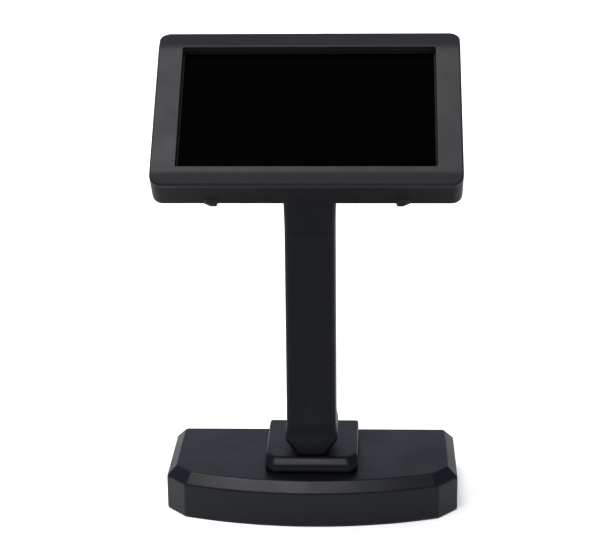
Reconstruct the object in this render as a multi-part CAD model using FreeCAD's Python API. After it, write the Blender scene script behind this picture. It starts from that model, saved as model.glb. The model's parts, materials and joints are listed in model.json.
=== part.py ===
import FreeCAD, Part
import math
import os

# A touch display on a tilting and swivelling pole, every piece its own solid, in millimetres.
# +Z is up and the user stands on the -Y side. Pieces are laid out about the pole's own upright axis,
# and saving moves them so that the origin is the middle of the underside of the whole object's box.

Vector = FreeCAD.Vector
AXIS_X = Vector(1, 0, 0)
AXIS_Y = Vector(0, 1, 0)
AXIS_Z = Vector(0, 0, 1)

ORIGIN_SHIFT_Y = 6.311

# Head: its own frame has the front face at y = 0, the screen's middle at x = z = 0 and the back at +y.
HEAD_LEAN = 48.07
HEAD_CENTRE = Vector(0, -32.0, 274.75)
HEAD_HALF_WIDTH = 93.25
HEAD_BOTTOM = -56.8
HEAD_TOP = 58.8
HEAD_DEPTH = 23.0
HEAD_CORNER = 6.6
HEAD_WALL = 2.2
BEND_HEIGHT = 44.5
BEND_SETBACK = 4.75
LOW_BEND_HEIGHT = -48.6
LOW_BEND_SETBACK = 2.05
PARTING_Y = 5.2
PARTING_GAP = 0.4
APERTURE_HALF_WIDTH = 78.0
APERTURE_HALF_HEIGHT = 44.5
HINGE_Y = 44.25
HINGE_Z = 3.27

# Pole: crowned front and back, round corners.
POLE_HALF_WIDTH = 16.0
POLE_HALF_DEPTH = 19.0
POLE_CORNER = 4.5
POLE_CROWN = 60.0
HINGE_HEIGHT = 244.0
COLLAR_BOTTOM = 190.0
COLLAR_TOP = 226.0
BOOT_TOP = 61.0
BOOT_FLOOR = 49.0
BOOT_BOTTOM = 40.2
BOOT_TOE_HALF_WIDTH = 10.3
BOOT_TOE_HALF_DEPTH = 18.5
SPINDLE_RADIUS = 8.0

# Base: a shallow D in plan with a chamfered rim, and the raised block the pole turns on.
BASE_HALF_WIDTH = 95.4
BASE_BACK = 60.0
BASE_FRONT = -42.0
BASE_FRONT_CORNER = (82.6, -27.7)
BASE_SIDE_FRONT = -13.2
BASE_BACK_CUT = 5.0
BASE_TOP = 29.5
BASE_LIP = 0.7
BASE_WALL = 2.6
BASE_CHAMFER = 6.5
PEDESTAL_HALF_WIDTH = 30.2
PEDESTAL_FRONT = -24.5
PEDESTAL_BACK = 46.0
PEDESTAL_TOP = 39.5
PEDESTAL_CHAMFER = 4.85

FIT_GAP = 0.05


def box(x0, x1, y0, y1, z0, z1):
    return Part.makeBox(x1 - x0, y1 - y0, z1 - z0, Vector(x0, y0, z0))


def rod(start, axis, radius, length):
    return Part.makeCylinder(radius, length, Vector(*start), axis)


def ring(start, axis, outer, inner, length):
    return rod(start, axis, outer, length).cut(rod(start, axis, inner, length))


def fuse(shapes):
    return shapes[0].fuse(shapes[1:]).removeSplitter()


def straight_edges(shape, axis):
    """Straight edges that run along an axis."""
    found = []
    for edge in shape.Edges:
        if edge.Curve.TypeId == "Part::GeomLine":
            if abs(edge.tangentAt(edge.FirstParameter).dot(axis)) > 0.999:
                found.append(edge)
    return found


def edges_at(edges, y, z):
    """Those of the edges along X that pass a given point of the side view."""
    return [edge for edge in edges if math.hypot(edge.CenterOfMass.y - y, edge.CenterOfMass.z - z) < 0.01]


def slab(x0, x1, z0, z1, y0, y1, radius):
    """A plate facing Y with four round corners."""
    plate = box(x0, x1, y0, y1, z0, z1)
    return plate.makeFillet(radius, straight_edges(plate, AXIS_Y))


def side_prism(points, half_width):
    """A (y, z) outline run across the full width."""
    corners = [Vector(-half_width, y, z) for y, z in points]
    outline = Part.makePolygon(corners + corners[:1])
    return Part.Face(outline).extrude(Vector(2 * half_width, 0, 0))


def hex_prism(start, axis, across_flats, length):
    radius = across_flats / math.sqrt(3)
    corners = []
    for step in range(7):
        turn = math.radians(60 * step)
        corners.append(Vector(radius * math.cos(turn), radius * math.sin(turn), 0))
    prism = Part.Face(Part.makePolygon(corners)).extrude(Vector(0, 0, length))
    prism.Placement = FreeCAD.Placement(Vector(*start), FreeCAD.Rotation(AXIS_Z, axis))
    return prism


def screw(seat, axis, radius, length, head_radius, head_height):
    """A socket screw. The seat is under the head and the axis points along the shank to the tip."""
    seat = Vector(*seat)
    crown = seat - axis * head_height
    head = Part.makeCylinder(head_radius, head_height, crown, axis)
    top_rim = [edge for edge in head.Edges if (edge.CenterOfMass - crown).Length < 0.01]
    head = head.makeFillet(head_height * 0.3, top_rim[:1])
    shank = Part.makeCylinder(radius, length, seat, axis)
    body = head.fuse(shank)
    return body.cut(hex_prism(crown, axis, head_radius * 0.9, head_height * 0.6))


def slot(x, z0, z1, y0, y1, half_width):
    """An upright slot through a wall that faces Y, with round ends."""
    low = rod((x, y0, z0 + half_width), AXIS_Y, half_width, y1 - y0)
    high = rod((x, y0, z1 - half_width), AXIS_Y, half_width, y1 - y0)
    middle = box(x - half_width, x + half_width, y0, y1, z0 + half_width, z1 - half_width)
    return fuse([middle, low, high])


def grommet(centre, axis, bore, hole, flange, length):
    """A rubber ring that lines a hole, with a flange at its outer end. The axis points outward."""
    inner_end = Vector(*centre) - axis * length
    lining = Part.makeCylinder(hole, length, inner_end, axis)
    rim = Part.makeCylinder(flange, 0.9, Vector(*centre) - axis * 0.9, axis)
    bored = Part.makeCylinder(bore, length + 1, inner_end - axis * 0.5, axis)
    return fuse([lining, rim]).cut(bored)


# ---- head ----

BOSS_SPOTS = [(x, z) for x in (-87.0, 87.0) for z in (-45.0, 3.0, 40.5)]
POST_SPOTS = [(x, z) for x in (-60.0, 60.0) for z in (-50.2, 51.0)]
BRACKET_SPOTS = [(x, z) for x in (-20.0, 20.0) for z in (HINGE_Z - 16, HINGE_Z + 16)]
MAIN_BOARD = (-78.0, -28.0, -40.0, 40.0)
DRIVER_BOARD = (30.0, 77.0, -32.0, 14.0)
BUTTON_X = 12.0
BUTTON_FRONT = 7.2
BUTTON_BACK = 11.4
BUTTON_HALF_WIDTH = 4.5
BUTTON_HEIGHT = 2.0
BUTTON_SCREW_SPOTS = [(4.4, 10.0), (19.6, 10.0)]
HARNESS_HOLE = (0.0, -29.0)
BUMPER_X = 57.0
BUMPER_FRONT = 17.2
BUMPER_BACK = 22.2


def head_block():
    """The head's whole outside as one solid."""
    rear_top = 54.0
    shoulder_y = 14.0
    profile = [
        (LOW_BEND_SETBACK, HEAD_BOTTOM),
        (0, LOW_BEND_HEIGHT),
        (0, BEND_HEIGHT),
        (BEND_SETBACK, HEAD_TOP),
        (shoulder_y, HEAD_TOP),
        (HEAD_DEPTH, rear_top),
        (HEAD_DEPTH, HEAD_BOTTOM),
    ]
    rounds = [1.0, 8.0, 20.0, 0.9, 3.0, 1.5, 1.2]
    block = side_prism(profile, HEAD_HALF_WIDTH)
    for (y, z), radius in zip(profile, rounds):
        block = block.makeFillet(radius, edges_at(straight_edges(block, AXIS_X), y, z))
    outline = slab(
        -HEAD_HALF_WIDTH, HEAD_HALF_WIDTH, HEAD_BOTTOM, HEAD_TOP, -1, HEAD_DEPTH + 1, HEAD_CORNER
    )
    return block.common(outline)


def head_cavity():
    floor = HEAD_BOTTOM + HEAD_WALL
    roof = HEAD_TOP - HEAD_WALL
    back = HEAD_DEPTH - HEAD_WALL
    profile = [
        (LOW_BEND_SETBACK + 1.8, floor),
        (HEAD_WALL, LOW_BEND_HEIGHT + 0.6),
        (HEAD_WALL, BEND_HEIGHT - 0.4),
        (6.34, roof),
        (13.6, roof),
        (back, 52.7),
        (back, floor),
    ]
    half_width = HEAD_HALF_WIDTH - HEAD_WALL
    outline = slab(-half_width, half_width, floor, roof, 0, HEAD_DEPTH, HEAD_CORNER - HEAD_WALL)
    return side_prism(profile, half_width).common(outline)


def lap(inset, y0, y1):
    """A solid that fills the head's outline shrunk by an inset."""
    half_width = HEAD_HALF_WIDTH - inset
    radius = HEAD_CORNER - inset
    return slab(-half_width, half_width, HEAD_BOTTOM + inset, HEAD_TOP - inset, y0, y1, radius)


def head_shells():
    block = head_block()
    cavity = head_cavity()
    wide = HEAD_HALF_WIDTH + 5
    front_part = block.common(box(-wide, wide, -5, PARTING_Y, -80, 80)).cut(cavity)
    rear_part = block.common(box(-wide, wide, PARTING_Y + PARTING_GAP, 40, -80, 80)).cut(cavity)

    rim = slab(-79.6, 79.6, -46.1, 46.1, 1.0, 5.0, 2.6)
    tongue = lap(1.1, 4.6, 7.2).cut(lap(HEAD_WALL, 4.0, 8.0)).common(block)
    posts = []
    for x, z in POST_SPOTS:
        root_y = 1.6 if z < 0 else 3.5
        posts.append(rod((x, root_y, z), AXIS_Y, 2.4, 13.0 - root_y))
    bosses = [rod((x, 1.4, z), AXIS_Y, 2.6, 10.6) for x, z in BOSS_SPOTS]
    bezel = fuse([front_part, rim, tongue] + posts + bosses)
    aperture = slab(
        -APERTURE_HALF_WIDTH, APERTURE_HALF_WIDTH, -APERTURE_HALF_HEIGHT, APERTURE_HALF_HEIGHT, -1, 6, 1.0
    )
    post_bores = [rod((x, 6.0, z), AXIS_Y, 1.05, 8) for x, z in POST_SPOTS]
    boss_bores = [rod((x, 5.0, z), AXIS_Y, 1.3, 8) for x, z in BOSS_SPOTS]
    bezel = bezel.cut([aperture] + post_bores + boss_bores)

    pillars = [rod((x, 12.1, z), AXIS_Y, 2.8, 9.5) for x, z in BOSS_SPOTS]
    button_pillars = [rod((x, y, 52.05), AXIS_Z, 1.6, 5.5) for x, y in BUTTON_SCREW_SPOTS]
    housing = fuse([rear_part.cut(lap(1.0, 5.0, 7.5))] + pillars + button_pillars)
    cuts = []
    for x, z in BOSS_SPOTS:
        cuts.append(rod((x, 12, z), AXIS_Y, 1.45, 12))
        cuts.append(rod((x, 20.6, z), AXIS_Y, 2.5, 5))
    for x, y in BUTTON_SCREW_SPOTS:
        cuts.append(rod((x, y, 52), AXIS_Z, 0.85, 3.5))
    for x, z in BRACKET_SPOTS:
        cuts.append(rod((x, 20, z), AXIS_Y, 2.1, 5))
    for side in (-1, 1):
        for column in range(8):
            cuts.append(slot(side * (36 + 5.5 * column), 18, 42, 20, 25, 1.1))
            cuts.append(slot(side * (36 + 5.5 * column), -46, -34, 20, 25, 1.1))
    cuts.append(rod((HARNESS_HOLE[0], 20, HARNESS_HOLE[1]), AXIS_Y, 5.5, 5))
    cuts.append(rod((HARNESS_HOLE[0], 22.0, HARNESS_HOLE[1]), AXIS_Y, 7.5, 5))
    button_hole = box(
        BUTTON_X - BUTTON_HALF_WIDTH - 0.3,
        BUTTON_X + BUTTON_HALF_WIDTH + 0.3,
        BUTTON_FRONT - 0.3,
        BUTTON_BACK + 0.3,
        56,
        60,
    )
    cuts.append(button_hole.makeFillet(1.2, straight_edges(button_hole, AXIS_Z)))
    for x in (-BUMPER_X, BUMPER_X):
        cuts.append(box(x - 3, x + 3, BUMPER_FRONT + 0.3, BUMPER_BACK - 2.1, HEAD_BOTTOM - 1, -50))
    return bezel, housing.cut(cuts)


def power_button():
    cap = box(
        BUTTON_X - BUTTON_HALF_WIDTH, BUTTON_X + BUTTON_HALF_WIDTH, BUTTON_FRONT, BUTTON_BACK, 55.9, 60.8
    )
    cap = cap.makeFillet(0.9, straight_edges(cap, AXIS_Z))
    top_edges = [edge for edge in cap.Edges if edge.BoundBox.ZMin > HEAD_TOP + BUTTON_HEIGHT - 0.01]
    cap = cap.makeFillet(0.6, top_edges)
    flange = box(
        BUTTON_X - BUTTON_HALF_WIDTH - 0.9,
        BUTTON_X + BUTTON_HALF_WIDTH + 0.9,
        BUTTON_FRONT - 0.9,
        BUTTON_BACK + 0.9,
        55.7,
        56.3,
    )
    return fuse([cap, flange])


def bumper(x, side):
    """A rubber foot at the head's lower rear edge: a long slope outside and a steep face inside."""
    drop = HEAD_BOTTOM - 2.1
    outline = [(-3.6, HEAD_BOTTOM), (-2.9, drop), (0.6, drop), (5.0, HEAD_BOTTOM)]
    profile = [Vector(x + side * across, BUMPER_FRONT, z) for across, z in outline]
    depth = Vector(0, BUMPER_BACK - BUMPER_FRONT, 0)
    pad = Part.Face(Part.makePolygon(profile + profile[:1])).extrude(depth)
    pad = pad.makeFillet(0.4, straight_edges(pad, AXIS_Y))
    ramp = [
        (BUMPER_FRONT, HEAD_BOTTOM),
        (BUMPER_FRONT, HEAD_BOTTOM - 0.3),
        (BUMPER_BACK - 1.2, drop),
        (BUMPER_BACK, drop),
        (BUMPER_BACK, HEAD_BOTTOM),
    ]
    pad = pad.common(side_prism(ramp, HEAD_HALF_WIDTH))
    stem_front = BUMPER_FRONT + 0.4
    stem = box(x - 2.9, x + 2.9, stem_front, BUMPER_BACK - 2.2, HEAD_BOTTOM - 0.2, HEAD_BOTTOM + 2.3)
    barb = box(x - 2.9, x + 2.9, stem_front, BUMPER_BACK - 1.7, HEAD_BOTTOM + 2.25, HEAD_BOTTOM + 3.4)
    return fuse([pad, stem, barb])


def screen_stack():
    gasket = slab(-79.9, 79.9, -46.4, 46.4, 5.05, 6.05, 2.0).cut(slab(-77, 77, -43.5, 43.5, 4, 7, 1.0))
    glass = slab(-81, 81, -47, 47, 6.1, 7.9, 1.5)
    cell = slab(-80.8, 80.8, -46.8, 46.8, 8.0, 9.4, 0.6)
    backlight = slab(-80.8, 80.8, -46.8, 46.8, 9.45, 12.1, 0.6)
    tray = slab(-81.5, 81.5, -47.5, 47.5, 8.0, 12.95, 1.0)
    tray = tray.cut(slab(-80.9, 80.9, -46.9, 46.9, 7, 12.15, 0.7))
    tray = tray.cut(box(-62, -38, 12, 14, -46, -27))
    return {
        "screen_gasket": gasket,
        "touch_glass": glass,
        "lcd_cell": cell,
        "backlight_stack": backlight,
        "panel_tray": tray,
    }


def corner_spots(board, margin):
    x0, x1, z0, z1 = board
    return [(x, z) for x in (x0 + margin, x1 - margin) for z in (z0 + margin, z1 - margin)]


def head_electronics():
    standoff_spots = corner_spots(MAIN_BOARD, 4.0) + corner_spots(DRIVER_BOARD, 4.0)
    plate = slab(-83, 83, -52.8, 53.6, 13.0, 14.0, 2.0)
    standoffs = [rod((x, 13.5, z), AXIS_Y, 2.6, 2.45) for x, z in standoff_spots]
    mid_frame = fuse([plate] + standoffs)
    openings = [box(-62, -38, 12, 15, -46, -27), box(-20, 22, 12, 15, -44, -24)]
    openings += [rod((x, 12, z), AXIS_Y, 1.05, 3) for x, z in POST_SPOTS]
    openings += [rod((x, 13.2, z), AXIS_Y, 1.0, 4) for x, z in standoff_spots]
    openings += [slot(x, 20, 44, 12, 15, 3.0) for x in (40.0, 52.0, 64.0)]
    openings += [box(2, 23, 12, 15, 49.0, 54)]
    mid_frame = mid_frame.cut(openings)

    boards = {}
    for name, (x0, x1, z0, z1) in (("main_board", MAIN_BOARD), ("driver_board", DRIVER_BOARD)):
        sheet = slab(x0, x1, z0, z1, 16.0, 17.6, 1.5)
        holes = [rod((x, 15, z), AXIS_Y, 1.2, 4) for x, z in corner_spots((x0, x1, z0, z1), 4.0)]
        boards[name] = sheet.cut(holes)

    main_parts = [
        box(-68, -52, 17.65, 19.3, 4, 20),
        box(-47, -37, 17.65, 18.7, 14, 28),
        box(-47, -37, 17.65, 18.7, -2, 10),
        box(-72, -64, 17.65, 20.2, -22, -10),
        box(-58, -52, 17.65, 19.0, -20, -14),
        box(-36, -31, 17.65, 20.2, -16, -2),
        box(-60, -40, 17.65, 18.9, -36, -32),
    ]
    for step in range(7):
        main_parts.append(box(-66 + 4 * step, -64.4 + 4 * step, 17.65, 18.5, 30, 32.4))
    driver_parts = [
        rod((42, 17.65, -14), AXIS_Y, 4.5, 2.9),
        rod((42, 17.65, 0), AXIS_Y, 4.5, 2.9),
        box(50, 60, 17.65, 20.0, -18, -8),
        box(54, 60, 17.65, 19.0, 0, 6),
        box(66, 71, 17.65, 20.2, -20, -4),
        box(31.5, 35, 17.65, 20.0, -20, -6),
    ]

    ribbon_path = [(12.3, -31), (12.3, -43), (18.35, -43), (18.35, -36.1)]
    ribbon_back = [(12.55, -31), (12.55, -42.75), (18.1, -42.75), (18.1, -36.1)]
    ribbon = side_prism(ribbon_path + ribbon_back[::-1], 8.0)
    ribbon.translate(Vector(-50, 0, 0))
    link = box(-30.9, 31.4, 18.6, 18.8, -14, -8)
    link = link.cut(box(-27.8, 29.8, 18, 19, -11.2, -10.8))

    board_screws = [screw((x, 17.6, z), -AXIS_Y, 0.95, 3.6, 1.9, 1.2) for x, z in standoff_spots]
    frame_screws = [screw((x, 14.0, z), -AXIS_Y, 1.0, 7.0, 2.0, 1.2) for x, z in POST_SPOTS]
    button_board = box(2.4, 21.6, 7.9, 12.0, 51.0, 52.0)
    button_board = button_board.cut([rod((x, y, 50), AXIS_Z, 0.9, 3) for x, y in BUTTON_SCREW_SPOTS])
    switch_case = box(BUTTON_X - 3, BUTTON_X + 3, 8.0, 11.4, 52.02, 53.8)
    switch = fuse([switch_case, rod((BUTTON_X, 9.6, 53.7), AXIS_Z, 1.2, 0.9)])
    button_screws = [screw((x, y, 51.0), AXIS_Z, 0.8, 4.0, 1.5, 1.0) for x, y in BUTTON_SCREW_SPOTS]
    pieces = {
        "mid_frame": mid_frame,
        "main_board_parts": Part.makeCompound(main_parts),
        "driver_board_parts": Part.makeCompound(driver_parts),
        "panel_ribbon": ribbon,
        "board_link_cable": link,
        "board_screws": Part.makeCompound(board_screws),
        "mid_frame_screws": Part.makeCompound(frame_screws),
        "button_board": button_board,
        "button_switch": switch,
        "button_board_screws": Part.makeCompound(button_screws),
    }
    pieces.update(boards)
    return pieces


def head_hinge():
    """The steel bracket on the head's back, and everything strung on the tilt shaft."""
    centre = (HINGE_Y, HINGE_Z)
    plate = slab(-26, 26, HINGE_Z - 22, HINGE_Z + 22, HEAD_DEPTH, 25.5, 3.0)
    ears = []
    for x0 in (-12.5, 9.5):
        arm = box(x0, x0 + 3, 25.0, HINGE_Y, HINGE_Z - 10, HINGE_Z + 10)
        ears.append(fuse([arm, rod((x0,) + centre, AXIS_X, 10.0, 3.0)]))
    bracket = fuse([plate] + ears)
    bracket_cuts = [rod((-30,) + centre, AXIS_X, 4.02, 60)]
    bracket_cuts += [rod((x, 20, z), AXIS_Y, 2.1, 8) for x, z in BRACKET_SPOTS]
    bracket = bracket.cut(bracket_cuts)

    backing = slab(-26, 26, HINGE_Z - 20, HINGE_Z + 20, 19.2, 20.75, 2.0)
    backing = backing.cut([rod((x, 18, z), AXIS_Y, 2.02, 4) for x, z in BRACKET_SPOTS])
    bracket_screws = [screw((x, 25.5, z), -AXIS_Y, 2.0, 6.2, 3.4, 1.3) for x, z in BRACKET_SPOTS]

    cover = slab(-30, 30, HINGE_Z - 26, HINGE_Z + 26, HEAD_DEPTH + 0.02, 27.0, 5.0)
    cover_back_rim = [edge for edge in cover.Edges if edge.BoundBox.YMin > 26.99]
    cover = cover.makeChamfer(1.2, cover_back_rim)
    pocket = slab(-26.2, 26.2, HINGE_Z - 22.2, HINGE_Z + 22.2, HEAD_DEPTH - 1, 25.6, 3.2)
    cover_cuts = [pocket, box(-13.5, 13.5, 20, 30, HINGE_Z - 11, HINGE_Z + 11)]
    cover_cuts += [rod((x, 25, z), AXIS_Y, 3.7, 5) for x, z in BRACKET_SPOTS]
    cover = cover.cut(cover_cuts)

    shaft = fuse(
        [
            rod((-15.5,) + centre, AXIS_X, 6.5, 3.0),
            rod((-12.6,) + centre, AXIS_X, 4.0, 30.7),
        ]
    )
    shaft = shaft.cut(hex_prism((-15.6,) + centre, AXIS_X, 5.0, 2.0))
    nut = hex_prism((13.5,) + centre, AXIS_X, 12.0, 4.4).cut(rod((13,) + centre, AXIS_X, 4.02, 6))
    spring_washer = ring((12.55,) + centre, AXIS_X, 7.5, 4.1, 0.9)
    friction = [ring((x,) + centre, AXIS_X, 8.5, 4.1, 0.9) for x in (-9.45, 8.55)]
    caps = []
    for side in (-1, 1):
        shell = rod((12.6,) + centre, AXIS_X, 9.6, 7.2)
        outer_rim = [edge for edge in shell.Edges if edge.BoundBox.XMin > 19.79]
        shell = shell.makeFillet(1.8, outer_rim[:1])
        shell = shell.cut(rod((12.5,) + centre, AXIS_X, 8.2, 5.9))
        if side < 0:
            shell = shell.mirror(Vector(0, 0, 0), AXIS_X)
        caps.append(shell)
    return {
        "hinge_bracket": bracket,
        "backing_plate": backing,
        "bracket_screws": Part.makeCompound(bracket_screws),
        "bracket_cover": cover,
        "hinge_shaft": shaft,
        "hinge_nut": nut,
        "hinge_spring_washer": spring_washer,
        "hinge_friction_washers": Part.makeCompound(friction),
        "hinge_caps": Part.makeCompound(caps),
    }


def head_pieces():
    bezel, housing = head_shells()
    pieces = {"front_bezel": bezel, "rear_housing": housing, "power_button": power_button()}
    pieces.update(screen_stack())
    pieces.update(head_electronics())
    pieces.update(head_hinge())
    seats = [(x, 20.6, z) for x, z in BOSS_SPOTS]
    screws = [screw(seat, -AXIS_Y, 1.25, 14.0, 2.3, 1.5) for seat in seats]
    pieces["housing_screws"] = Part.makeCompound(screws)
    pieces["bumper_feet"] = Part.makeCompound([bumper(-BUMPER_X, -1), bumper(BUMPER_X, 1)])
    x, z = HARNESS_HOLE
    pieces["head_grommet"] = grommet((x, 23.0, z), AXIS_Y, 3.5, 5.4, 7.4, 3.6)
    for shape in pieces.values():
        shape.rotate(Vector(0, 0, 0), AXIS_X, -HEAD_LEAN)
        shape.translate(HEAD_CENTRE)
    return pieces


# ---- pole ----

POLE_SCREW_X = (-6.5, 6.5)
KNUCKLE_SCREW_Z = 197.0
BOOT_SCREW_Z = 53.0


def pole_wire(half_width, half_depth, z):
    """The pole's plan: crowned front and back, flat sides, and corner arcs tangent to both."""
    crown_y = POLE_CROWN - half_depth
    corner_x = half_width - POLE_CORNER
    corner_y = crown_y - math.sqrt((POLE_CROWN - POLE_CORNER) ** 2 - corner_x**2)
    lean = math.atan2(corner_x, crown_y - corner_y)
    blend = (lean + math.pi / 2) / 2
    join = (POLE_CROWN * math.sin(lean), crown_y - POLE_CROWN * math.cos(lean))
    middle = (corner_x + POLE_CORNER * math.sin(blend), corner_y - POLE_CORNER * math.cos(blend))
    side = (half_width, corner_y)

    def arc(first, second, third):
        points = [Vector(x, y, z) for x, y in (first, second, third)]
        return Part.Arc(*points).toShape()

    def flip(point, x_sign, y_sign):
        return (point[0] * x_sign, point[1] * y_sign)

    edges = [
        arc(flip(join, -1, 1), (0, -half_depth), join),
        arc(join, middle, side),
        Part.makeLine(Vector(side[0], side[1], z), Vector(side[0], -side[1], z)),
        arc(flip(side, 1, -1), flip(middle, 1, -1), flip(join, 1, -1)),
        arc(flip(join, 1, -1), (0, half_depth), flip(join, -1, -1)),
        arc(flip(join, -1, -1), flip(middle, -1, -1), flip(side, -1, -1)),
        Part.makeLine(Vector(-side[0], -side[1], z), Vector(-side[0], side[1], z)),
        arc(flip(side, -1, 1), flip(middle, -1, 1), flip(join, -1, 1)),
    ]
    return Part.Wire(edges)


def pole_prism(grow, z0, z1):
    wire = pole_wire(POLE_HALF_WIDTH + grow, POLE_HALF_DEPTH + grow, z0)
    return Part.Face(wire).extrude(Vector(0, 0, z1 - z0))


def pole_screw_cuts(z):
    """Counterbores and shank holes for the pair of screws let into the pole's back at a height."""
    cuts = []
    for x in POLE_SCREW_X:
        cuts.append(rod((x, 17.4, z), AXIS_Y, 3.1, 5))
        cuts.append(rod((x, 5.8, z), AXIS_Y, 1.65, 14))
    return cuts


def pole_pieces():
    spigot = -1.2
    bore = -3.2
    tube = fuse(
        [
            pole_prism(0, BOOT_TOP + 0.1, COLLAR_BOTTOM - 0.1),
            pole_prism(spigot, BOOT_FLOOR + 0.05, BOOT_TOP + 0.2),
            pole_prism(spigot, COLLAR_BOTTOM - 0.2, 204.0),
        ]
    )
    tube_cuts = [pole_prism(bore, 40, 210)]
    tube_cuts += pole_screw_cuts(KNUCKLE_SCREW_Z) + pole_screw_cuts(BOOT_SCREW_Z)
    tube = tube.cut(tube_cuts)

    collar = pole_prism(0.6, COLLAR_BOTTOM, COLLAR_TOP)
    top_rim = [edge for edge in collar.Edges if edge.BoundBox.ZMin > COLLAR_TOP - 0.01]
    collar = collar.makeFillet(2.0, top_rim)
    low_rim = [edge for edge in collar.Edges if edge.BoundBox.ZMax < COLLAR_BOTTOM + 0.01]
    collar = collar.makeChamfer(0.5, low_rim)
    collar_cuts = [pole_prism(spigot + 0.02, 180, 204.1), pole_prism(-2.2, 204, 223.6)]
    collar_cuts += [box(-8.8, 8.8, -9.8, 9.8, 200, 230), rod((0, -13.4, 220), AXIS_Z, 3.0, 10)]
    collar = collar.cut(collar_cuts + pole_screw_cuts(KNUCKLE_SCREW_Z))

    tongue = fuse(
        [
            box(-8.5, 8.5, -9.5, 9.5, 200, HINGE_HEIGHT),
            rod((-8.5, 0, HINGE_HEIGHT), AXIS_X, 9.5, 17.0),
        ]
    )
    knuckle = fuse([pole_prism(bore - FIT_GAP, 182, 206), tongue])
    knuckle_cuts = [rod((-20, 0, HINGE_HEIGHT), AXIS_X, 4.0 + FIT_GAP, 40)]
    knuckle_cuts += [rod((0, -12.6, 180), AXIS_Z, 2.6, 40)]
    knuckle_cuts += [rod((0, -12.6, 179), AXIS_Z, 2.6, 4), box(-5, 5, -5, 5, 170, 192)]
    knuckle = knuckle.cut(knuckle_cuts + pole_screw_cuts(KNUCKLE_SCREW_Z))

    sections = [(0, BOOT_TOP), (1.05, 53.5), (1.05, 49.5)]
    wires = [pole_wire(POLE_HALF_WIDTH + grow, POLE_HALF_DEPTH + grow, z) for grow, z in sections]
    wires.append(pole_wire(BOOT_TOE_HALF_WIDTH, BOOT_TOE_HALF_DEPTH, BOOT_BOTTOM))
    boot = Part.makeLoft(wires, True, True)
    boot_cuts = [pole_prism(spigot + 0.02, BOOT_FLOOR, 70)]
    boot_cuts += [rod((0, 0, 35), AXIS_Z, SPINDLE_RADIUS + 0.02, 20)]
    boot = boot.cut(boot_cuts + pole_screw_cuts(BOOT_SCREW_Z))

    spindle = fuse(
        [
            pole_prism(bore - FIT_GAP, BOOT_FLOOR + 0.05, 58.0),
            rod((0, 0, 23.9), AXIS_Z, SPINDLE_RADIUS, 25.5),
            rod((0, 0, 15.5), AXIS_Z, 7.0, 9.0),
        ]
    )
    spindle = spindle.cut([rod((0, 0, 10), AXIS_Z, 4.2, 60)] + pole_screw_cuts(BOOT_SCREW_Z))

    screws = {}
    for name, z in (("knuckle_screws", KNUCKLE_SCREW_Z), ("boot_screws", BOOT_SCREW_Z)):
        pair = [screw((x, 17.4, z), -AXIS_Y, 1.6, 11.0, 2.9, 1.6) for x in POLE_SCREW_X]
        screws[name] = Part.makeCompound(pair)

    nut = hex_prism((0, 0, 17.0), AXIS_Z, 20.0, 4.4).cut(rod((0, 0, 16), AXIS_Z, 7.02, 8))
    washer = ring((0, 0, 23.05), AXIS_Z, 10.5, 7.1, 0.85)
    stop_tab = fuse([rod((0, 0, 21.5), AXIS_Z, 10.5, 1.5), box(-2.5, 2.5, -16.6, 0, 21.5, 23.0)])
    stop_tab = stop_tab.cut(rod((0, 0, 20), AXIS_Z, 7.02, 5))

    wires_bundle = rod((0, 0, 17.5), AXIS_Z, 2.2, 143)
    connector = box(-5, 5, -4, 4, 160.6, 177)
    pieces = {
        "pole_tube": tube,
        "neck_collar": collar,
        "hinge_knuckle": knuckle,
        "pole_boot": boot,
        "swivel_spindle": spindle,
        "swivel_nut": nut,
        "swivel_spring_washer": washer,
        "stop_tab": stop_tab,
        "pole_harness": wires_bundle,
        "harness_connector": connector,
    }
    pieces.update(screws)
    return pieces


# ---- base ----

BASE_SCREW_SPOTS = [(-80, -8), (80, -8), (-80, 44), (80, 44), (-34, 52), (34, 52)]
FOOT_SPOTS = [(-62, -18), (62, -18), (-66, 46), (66, 46)]
BALLAST_SCREW_SPOTS = [(x, y) for x in (-50, 50) for y in (-12, 36)]
PEDESTAL_SCREW_SPOTS = [(x, y) for x in (-19, 19) for y in (-9, 34)]
CABLE_Z = 14.0
STOP_RADIUS = 14.0


def base_block(grow, z0, z1, chamfer):
    """The base's plan, grown or shrunk, as a solid with a chamfered top rim."""
    corner_x, corner_y = BASE_FRONT_CORNER
    left_front = Vector(-corner_x, corner_y, z0)
    right_front = Vector(corner_x, corner_y, z0)
    front = Part.Arc(left_front, Vector(0, BASE_FRONT, z0), right_front).toShape()
    side_back = BASE_BACK - BASE_BACK_CUT
    back_x = BASE_HALF_WIDTH - BASE_BACK_CUT
    corners = [
        right_front,
        Vector(BASE_HALF_WIDTH, BASE_SIDE_FRONT, z0),
        Vector(BASE_HALF_WIDTH, side_back, z0),
        Vector(back_x, BASE_BACK, z0),
        Vector(-back_x, BASE_BACK, z0),
        Vector(-BASE_HALF_WIDTH, side_back, z0),
        Vector(-BASE_HALF_WIDTH, BASE_SIDE_FRONT, z0),
        left_front,
    ]
    face = Part.Face(Part.Wire([front] + Part.makePolygon(corners).Edges))
    if grow:
        face = face.makeOffset2D(grow, 2)
    block = face.extrude(Vector(0, 0, z1 - z0)).Solids[0]
    if chamfer:
        rim = [edge for edge in block.Edges if edge.BoundBox.ZMin > z1 - 0.01]
        block = block.makeChamfer(chamfer, rim)
    return block


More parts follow.
